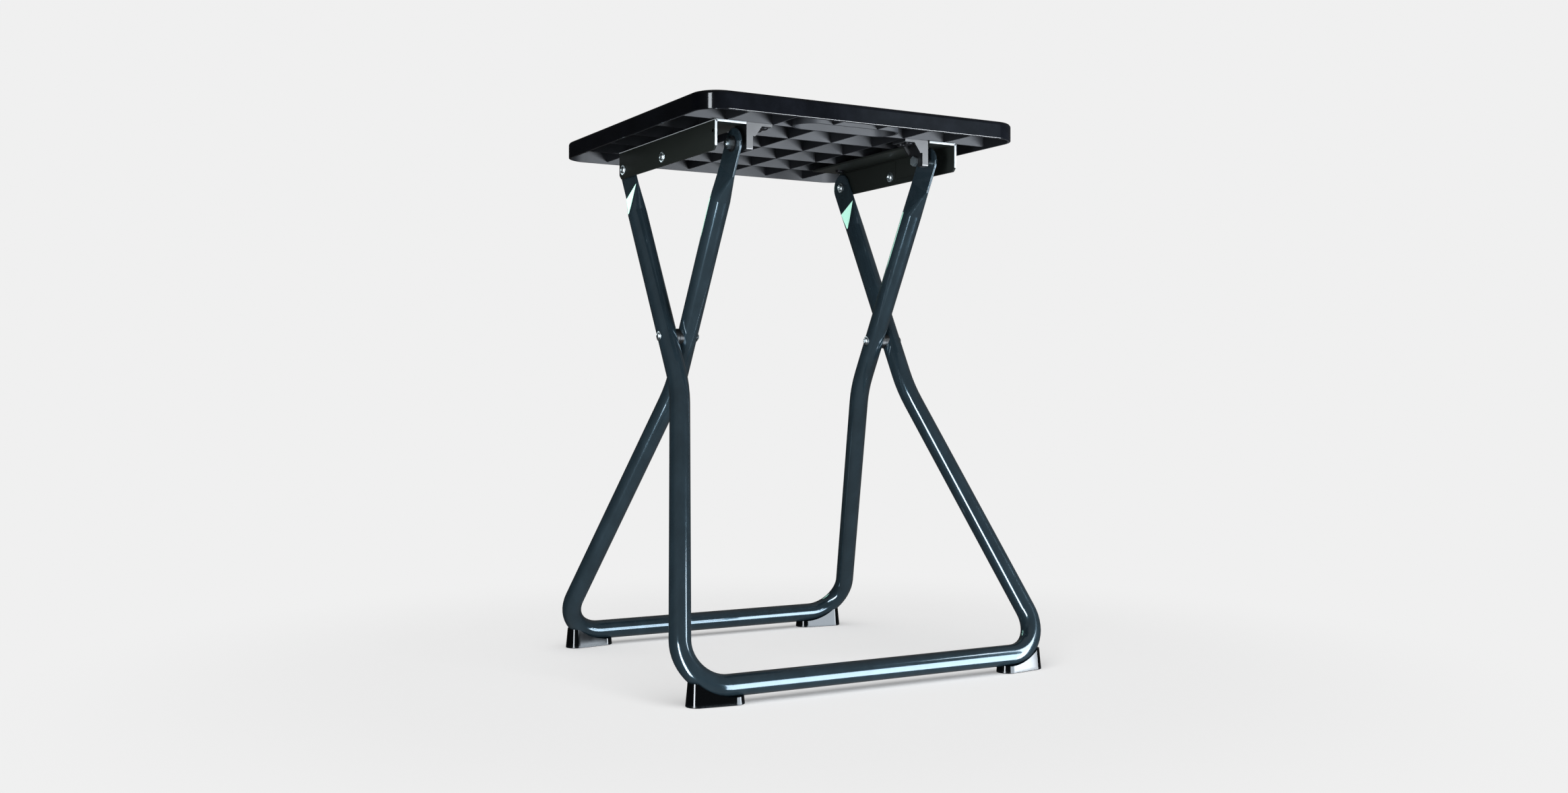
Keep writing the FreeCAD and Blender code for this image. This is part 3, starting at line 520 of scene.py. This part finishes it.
def bent_rail(shape, side, low, high, notch):
    """A rail as one sheet: web and flange, bent at the heel, notched and given its thickness."""
    outer = high.x if side > 0 else low.x
    inner = low.x if side > 0 else high.x
    heel = [(outer, low.y, high.z), (outer, high.y, high.z)]
    cut = RAIL_CUT_CORNER
    web = [(outer, high.y, low.z + cut), (outer, high.y - cut, low.z),
           (outer, low.y + cut, low.z), (outer, low.y, low.z + cut)]
    flange = [(inner, high.y, high.z), (inner, notch.y, high.z), (notch.x, notch.y, high.z),
              (notch.x, low.y, high.z)]
    near, far = (shape.verts.new(place) for place in heel)
    shape.faces.new([near, far] + [shape.verts.new(place) for place in web])
    shape.faces.new([far, near] + [shape.verts.new(place) for place in reversed(flange)])
    fold = [edge for edge in shape.edges if set(edge.verts) == {near, far}]
    bmesh.ops.bevel(shape, geom=fold, offset=RAIL_BEND, segments=4, profile=0.5, affect="EDGES",
                    material=-1)
    bmesh.ops.recalc_face_normals(shape, faces=shape.faces)
    web_face = max(shape.faces, key=lambda face: abs(face.normal.x))
    if web_face.normal.x * side < 0.0:               # the steel is added behind the outer side
        bmesh.ops.reverse_faces(shape, faces=shape.faces)
    bmesh.ops.solidify(shape, geom=shape.faces[:], thickness=RAIL_STEEL)
    sharp = [edge for edge in shape.edges if edge.is_manifold
             and edge.calc_face_angle(0.0) > RAIL_SHARP]
    bmesh.ops.bevel(shape, geom=sharp, offset=RAIL_ROUNDING, segments=2, profile=0.5, affect="EDGES",
                    material=-1)


# ---- operators ----------------------------------------------------------------------------
class FinishTray(bpy.types.Operator):
    """Finish the moulded tray and the brackets under it"""
    bl_idname = "side_table.finish_tray"
    bl_label = "Tray"

    def execute(self, context):
        plastic = context.scene.side_table_plastic
        wear_finish(tray_plastic(plastic), "table_top")
        wear_finish(bracket_plastic(plastic), *each_side("hook_bracket"))
        return {"FINISHED"}


class FinishLegs(bpy.types.Operator):
    """Finish the two leg frames"""
    bl_idname = "side_table.finish_legs"
    bl_label = "Legs"

    def execute(self, context):
        wear_finish(tube_paint(context.scene.side_table_tube), "outer_leg_frame", "inner_leg_frame")
        return {"FINISHED"}


class FinishRails(bpy.types.Operator):
    """Finish the rails and their doublers"""
    bl_idname = "side_table.finish_rails"
    bl_label = "Rails"

    def execute(self, context):
        coat = rail_coat(context.scene.side_table_steel)
        wear_finish(coat, *each_side("rail_doubler"))
        for name, side in SIDES:
            low, high = corners(f"{name}_rail")
            hook_low, hook_high = corners(f"{name}_hook_bracket")
            past = hook_high.x + NOTCH_GAP if side > 0 else hook_low.x - NOTCH_GAP
            shape = bmesh.new()
            bent_rail(shape, side, low, high, Vector((past, hook_high.y + NOTCH_GAP, 0.0)))
            add_piece(shape, f"{name}_rail_sheet", f"{name}_rail", coat,
                      RAIL_SMOOTH_BELOW)
        return {"FINISHED"}


class FinishFasteners(bpy.types.Operator):
    """Finish the rivets, bolts, nuts, sleeves and screws"""
    bl_idname = "side_table.finish_fasteners"
    bl_label = "Fasteners"

    def execute(self, context):
        steel = context.scene.side_table_steel
        plated = bright_steel(steel)
        wear_finish(plated, "left_rail_stud", *each_side("hook_bolt", "hook_nut", "hook_sleeve"))
        for kind in RIVET_KINDS:
            for name, side in SIDES:
                low, high = corners(f"{name}_{kind}")
                shape = bmesh.new()
                turned_rivet(shape, low, high, side)
                add_piece(shape, f"{name}_{kind}_turned", f"{name}_{kind}", plated,
                          RIVET_SMOOTH_BELOW)
        wear_finish(black_steel(steel), "front_foot_screws", "rear_foot_screws",
                    *each_side("rail_screws", "bracket_screws"))
        return {"FINISHED"}


class FinishSpacers(bpy.types.Operator):
    """Finish the saddles between the legs and the washers under the nuts"""
    bl_idname = "side_table.finish_spacers"
    bl_label = "Spacers"

    def execute(self, context):
        wear_finish(spacer_plastic(context.scene.side_table_plastic),
                    *each_side("outer_saddle", "inner_saddle", "hook_washer"))
        return {"FINISHED"}


class FinishFeet(bpy.types.Operator):
    """Finish the four feet"""
    bl_idname = "side_table.finish_feet"
    bl_label = "Feet"

    def execute(self, context):
        names = [f"{end}_{name}_foot" for end in ("front", "rear") for name, side in SIDES]
        wear_finish(foot_plastic(context.scene.side_table_plastic), *names)
        return {"FINISHED"}


# ---- studio -------------------------------------------------------------------------------
def studio_floor(tone):
    """A pale floor that melts into the backdrop away from the object."""
    material, sheet = new_finish("studio_floor")
    where = sheet.place()
    paper = sheet.noise(size=0.02, where=where, detail=3.0)
    away = sheet.node("ShaderNodeVectorMath", {"operation": "LENGTH"}, {0: where}, output="Value")
    paint = sheet.blend(paper, (FLOOR_WHITE * 0.99,) * 3, (FLOOR_WHITE,) * 3)
    lit = sheet.node("ShaderNodeAddShader", {}, {
        0: sheet.node("ShaderNodeBsdfDiffuse", {}, {"Color": paint}),
        1: sheet.node("ShaderNodeEmission", {}, {"Color": (*tone, 1.0), "Strength": FLOOR_GLOW})})
    glow = sheet.node("ShaderNodeEmission", {}, {"Color": (*tone, 1.0), "Strength": 1.0})
    mixed = sheet.node("ShaderNodeMixShader", {},
                       {0: sheet.between(away, *FLOOR_FADE), 1: lit, 2: glow})
    sheet.node("ShaderNodeOutputMaterial", {}, {"Surface": mixed})
    return material


def light_backdrop(scene, tone):
    """A pale backdrop with an even dome of soft light. The gloss mirrors a darker room."""
    world = bpy.data.worlds.new("studio")
    scene.world = world
    sheet = NodeSheet(world)
    direction = sheet.node("ShaderNodeTexCoord", output="Generated")
    height = direction.dot((0.0, 0.0, 1.0))
    towards_dark = direction.dot((math.cos(DARK_HEADING), math.sin(DARK_HEADING), 0.0))
    room = sheet.ramp(height * 0.5 + 0.5, *ROOM_TONES)
    shade = 1.0 - sheet.between(towards_dark, *DARK_SIDE) * DARK_SHARE
    mirrored = sheet.blend(shade, DARK_TONE, room)
    by_camera = sheet.node("ShaderNodeLightPath", output="Is Camera Ray")
    by_matt = sheet.node("ShaderNodeLightPath", output="Is Diffuse Ray")
    light = sheet.blend(by_matt, mirrored, (DOME_LIGHT,) * 3)
    glow = sheet.node("ShaderNodeBackground", {},
                      {"Color": sheet.blend(by_camera, light, tone), "Strength": 1.0})
    sheet.node("ShaderNodeOutputWorld", {}, {"Surface": glow})


def add_panel(name, place, size, radiance, tone, receivers, blockers, aim):
    """A soft panel light, seen and shaded only by what it is meant for, never by the floor."""
    data = bpy.data.lights.new(name, "AREA")
    data.shape = "RECTANGLE"
    data.size, data.size_y = size
    data.energy = radiance * math.pi * size[0] * size[1]
    data.color = tone
    panel = bpy.data.objects.new(name, data)
    panel.location = place
    panel.rotation_euler = (Vector(aim) - panel.location).to_track_quat("-Z", "Y").to_euler()
    panel.visible_camera = False
    panel.light_linking.receiver_collection = receivers
    panel.light_linking.blocker_collection = blockers
    bpy.context.scene.collection.objects.link(panel)


def add_sun(name, receivers, blockers):
    """A soft light from above the front, for the shadows of the legs on the floor."""
    data = bpy.data.lights.new(name, "SUN")
    data.energy = SUN_LIGHT
    data.angle = SUN_SOFTNESS
    sun = bpy.data.objects.new(name, data)
    sun.location = (0.0, 0.0, SUN_HEIGHT)
    sun.rotation_euler = Vector(SUN_AIM).to_track_quat("-Z", "Y").to_euler()
    sun.light_linking.receiver_collection = receivers
    sun.light_linking.blocker_collection = blockers
    bpy.context.scene.collection.objects.link(sun)


def around(heading, distance, height, centre=(0.0, 0.0)):
    """A place at a heading and a distance from a centre."""
    angle = math.radians(heading)
    return (centre[0] + distance * math.cos(angle), centre[1] + distance * math.sin(angle), height)


def gather(name, pieces):
    """A collection of the pieces that a light is meant for."""
    made = bpy.data.collections.new(name)
    for piece in pieces:
        made.objects.link(piece)
    return made


def add_floor(scene, tone):
    """The floor. The gloss of the table doesn't mirror it."""
    shape = bmesh.new()
    bmesh.ops.create_circle(shape, cap_ends=True, segments=FLOOR_SIDES, radius=FLOOR_RADIUS)
    mesh = bpy.data.meshes.new("floor")
    shape.to_mesh(mesh)
    shape.free()
    mesh.materials.append(studio_floor(tone))
    floor = bpy.data.objects.new("floor", mesh)
    floor.visible_glossy = False
    scene.collection.objects.link(floor)
    return floor


def light_table(table):
    """The soft panels, each for the pieces that it should light or show in."""
    nodes = frame["nodes"]
    legs = gather("legs", [nodes["outer_leg_frame"], nodes["inner_leg_frame"]])
    inner = gather("inner", [nodes["inner_leg_frame"]])
    mouldings = gather("mouldings", [nodes[name] for name in ("table_top", *each_side("hook_bracket"))])
    low = gather("low", [piece for piece in table.objects
                         if piece.name not in ("table_top", "inner_leg_frame")])
    fasteners = gather("fasteners", [piece for piece in table.objects
                                     if any(word in piece.name for word in FASTENER_WORDS)])

    # the pale face that the plated heads mirror
    add_panel("bolt_panel", around(heading=117.0, distance=1.6, height=0.85),
              size=(0.8, 0.5), radiance=2.6, tone=(0.86, 0.97, 1.0),
              receivers=fasteners, blockers=table, aim=(0.0, 0.0, 0.56))

    # the bands along the two cross tubes
    add_panel("key_panel", around(heading=-60.0, distance=1.1, height=-0.22),
              size=(0.9, 0.80), radiance=11.0, tone=(0.80, 0.90, 1.0),
              receivers=low, blockers=table, aim=(0.0, 0.0, -0.22))
    add_panel("far_panel", around(heading=-60.0, distance=1.1, height=-0.02),
              size=(0.9, 0.64), radiance=11.0, tone=(0.80, 0.90, 1.0),
              receivers=inner, blockers=table, aim=(0.0, 0.0, -0.02))

    # the upright lines on the legs, the feet and the tray's corners
    add_panel("left_strip", around(heading=-146.0, distance=1.3, height=0.3, centre=(-0.18, -0.17)),
              size=(0.30, 1.7), radiance=24.0, tone=(0.88, 0.94, 1.0),
              receivers=table, blockers=table, aim=(0.0, 0.0, 0.3))
    add_panel("right_strip", around(heading=-36.0, distance=1.3, height=0.3, centre=(0.0, -0.17)),
              size=(0.20, 1.7), radiance=13.0, tone=(0.88, 0.94, 1.0),
              receivers=low, blockers=table, aim=(0.0, 0.0, 0.3))

    # the green tint on the ramps of the flattened leg ends
    add_panel("back_panel", around(heading=93.0, distance=1.6, height=0.97),
              size=(0.5, 0.45), radiance=3.4, tone=(0.55, 1.0, 0.80),
              receivers=legs, blockers=table, aim=(0.0, 0.1, 0.54))

    # the ribs under the tray, and the front of its rim
    add_panel("rib_panel", around(heading=-63.0, distance=0.9, height=0.30),
              size=(0.7, 0.2), radiance=140.0, tone=(0.9, 0.95, 1.0),
              receivers=mouldings, blockers=table, aim=(0.0, 0.0, 0.59))
    add_panel("rim_panel", around(heading=-57.0, distance=1.2, height=0.80),
              size=(0.25, 0.3), radiance=0.6, tone=(0.72, 0.88, 1.0),
              receivers=mouldings, blockers=table, aim=(0.0, 0.0, 0.59))


def add_camera(scene, studio):
    """The camera, level but for a small tilt."""
    data = bpy.data.cameras.new("camera")
    data.lens = studio.lens
    data.sensor_width = SENSOR_WIDTH
    camera = bpy.data.objects.new("camera", data)
    camera.location = studio.camera_place
    camera.rotation_euler = (math.pi / 2 + studio.camera_tilt, 0.0, -studio.camera_turn)
    scene.collection.objects.link(camera)
    scene.camera = camera


class SetStage(bpy.types.Operator):
    """Set up the floor, the backdrop, the lights and the camera"""
    bl_idname = "side_table.set_stage"
    bl_label = "Stage"

    def execute(self, context):
        scene = context.scene
        studio = scene.side_table_studio
        scene.view_settings.view_transform = "Standard"
        table = gather("table", [piece for piece in scene.objects if piece.type == "MESH"])
        floor = add_floor(scene, tuple(studio.floor))
        light_backdrop(scene, tuple(studio.floor))
        light_table(table)
        standing = gather("standing", [piece for piece in table.objects
                                       if "_leg_" in piece.name or "_foot" in piece.name])
        add_sun("floor_sun", gather("ground", [floor]), standing)
        add_camera(scene, studio)
        return {"FINISHED"}


# ---- panel and registration -----------------------------------------------------------------
PIECES = (FinishTray, FinishLegs, FinishRails, FinishFasteners, FinishSpacers, FinishFeet, SetStage)
SETTINGS = (("side_table_plastic", PlasticFinish), ("side_table_tube", TubeFinish),
            ("side_table_steel", SteelFinish), ("side_table_studio", Studio))


class SideTablePanel(bpy.types.Panel):
    """Lists the settings and the operators of the side table"""
    bl_idname = "VIEW3D_PT_side_table"
    bl_label = "Side Table"
    bl_space_type = "VIEW_3D"
    bl_region_type = "UI"
    bl_category = "Side Table"

    def draw(self, context):
        for name, group in SETTINGS:
            box = self.layout.box()
            box.label(text=group.__doc__)
            for setting in group.__annotations__:
                box.prop(getattr(context.scene, name), setting)
        for operator in PIECES:
            self.layout.operator(operator.bl_idname)


def register():
    """Makes the settings, the operators and the panel known to Blender."""
    for group in (group for name, group in SETTINGS):
        bpy.utils.register_class(group)
    for operator in PIECES:
        bpy.utils.register_class(operator)
    bpy.utils.register_class(SideTablePanel)
    for name, group in SETTINGS:
        setattr(bpy.types.Scene, name, bpy.props.PointerProperty(type=group))


def unregister():
    """Takes them away again."""
    for name, group in SETTINGS:
        delattr(bpy.types.Scene, name)
    bpy.utils.unregister_class(SideTablePanel)
    for operator in reversed(PIECES):
        bpy.utils.unregister_class(operator)
    for name, group in reversed(SETTINGS):
        bpy.utils.unregister_class(group)


def main():
    """Finishes the table piece by piece."""
    register()
    for operator in PIECES:
        group, name = operator.bl_idname.split(".")
        getattr(getattr(bpy.ops, group), name)()


if __name__ == "__main__":
    main()
